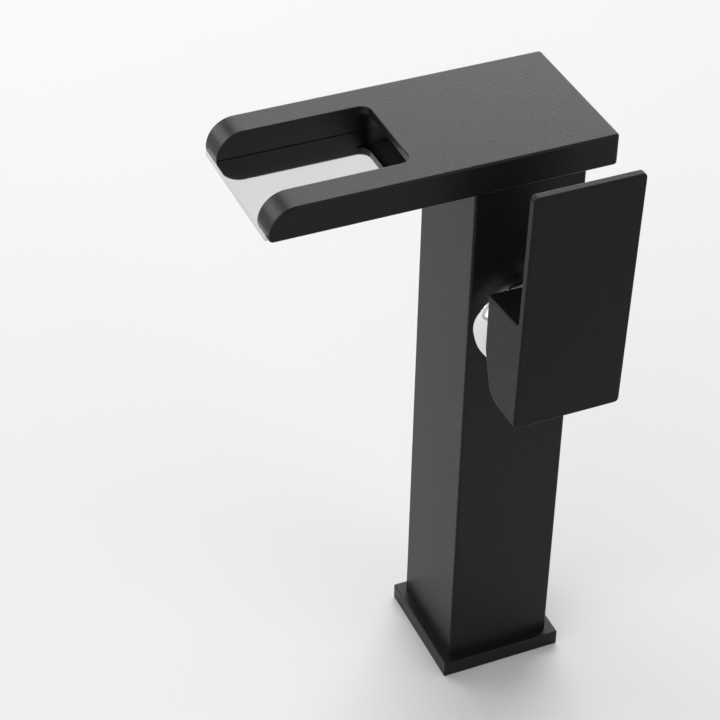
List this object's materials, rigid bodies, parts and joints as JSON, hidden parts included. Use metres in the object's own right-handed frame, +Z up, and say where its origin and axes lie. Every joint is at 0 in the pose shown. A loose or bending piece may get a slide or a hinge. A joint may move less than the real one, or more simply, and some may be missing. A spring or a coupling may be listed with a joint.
{
  "type": "bathroom mixer faucet",
  "caption": "Tall square matte black waterfall basin mixer, deck mounted, with an open spout over a chrome tray and a side lever that sets flow and temperature.",
  "frame": {"origin": "on the deck, in the middle of the base plate's underside", "axes": "+Z up along the column, -Y the way the spout points, +X the side of the lever"},
  "size_m": [0.093, 0.1301, 0.3034],
  "materials": {
    "black_paint": "matte black powder coat",
    "mirror_chrome": "bright mirror plating",
    "raw_brass": "machined",
    "copper_tube": "drawn tube",
    "stainless": "machined stainless steel",
    "black_rubber": "moulded",
    "cartridge_plastic": "moulded acetal",
    "alumina": "lapped",
    "black_plastic": "moulded"
  },
  "bodies": {
    "faucet": {"base_flange": "black_paint", "base_gasket": "black_rubber", "column_body": "black_paint", "mounting_shank": "raw_brass", "rubber_deck_washer": "black_rubber", "steel_deck_washer": "stainless", "deck_lock_nut": "raw_brass", "inlet_block": "raw_brass", "hot_riser": "copper_tube", "cold_riser": "copper_tube", "riser_o_rings": "black_rubber", "spout_shell": "black_paint", "waterfall_tray": "mirror_chrome", "tray_screws": "stainless", "spout_o_ring": "black_rubber", "spout_set_screw": "stainless", "cartridge_base": "cartridge_plastic", "cartridge_port_seals": "black_rubber", "fixed_ceramic_disc": "alumina", "cartridge_housing": "cartridge_plastic", "cartridge_nut": "raw_brass", "bonnet_cap": "mirror_chrome"},
    "swivel": {"lever_guide": "cartridge_plastic", "pivot_pin": "stainless"},
    "lever": {"lever_stem": "stainless", "handle_lever": "black_paint", "handle_set_screw": "stainless", "set_screw_plug": "black_plastic"},
    "disc": {"moving_ceramic_disc": "alumina", "disc_carrier": "cartridge_plastic"}
  },
  "joints": [
    {"name": "temperature_swivel", "type": "hinge", "parent": "faucet", "child": "swivel", "pos_m": [0.018, 0, 0.1719], "axis": [1, 0, 0], "range_deg": [-45, 45]},
    {"name": "lever_tilt", "type": "hinge", "parent": "swivel", "child": "lever", "pos_m": [0.018, 0, 0.1719], "axis": [0, 1, 0], "range_deg": [0, 22]},
    {"name": "disc_slide", "type": "slide", "parent": "swivel", "child": "disc", "axis": [0, 0, 1], "range_m": [0, 0.00299]}
  ],
  "couplings": [
    {"joint": "disc_slide", "follows": "lever_tilt", "m_per_rad": 0.0078}
  ]
}
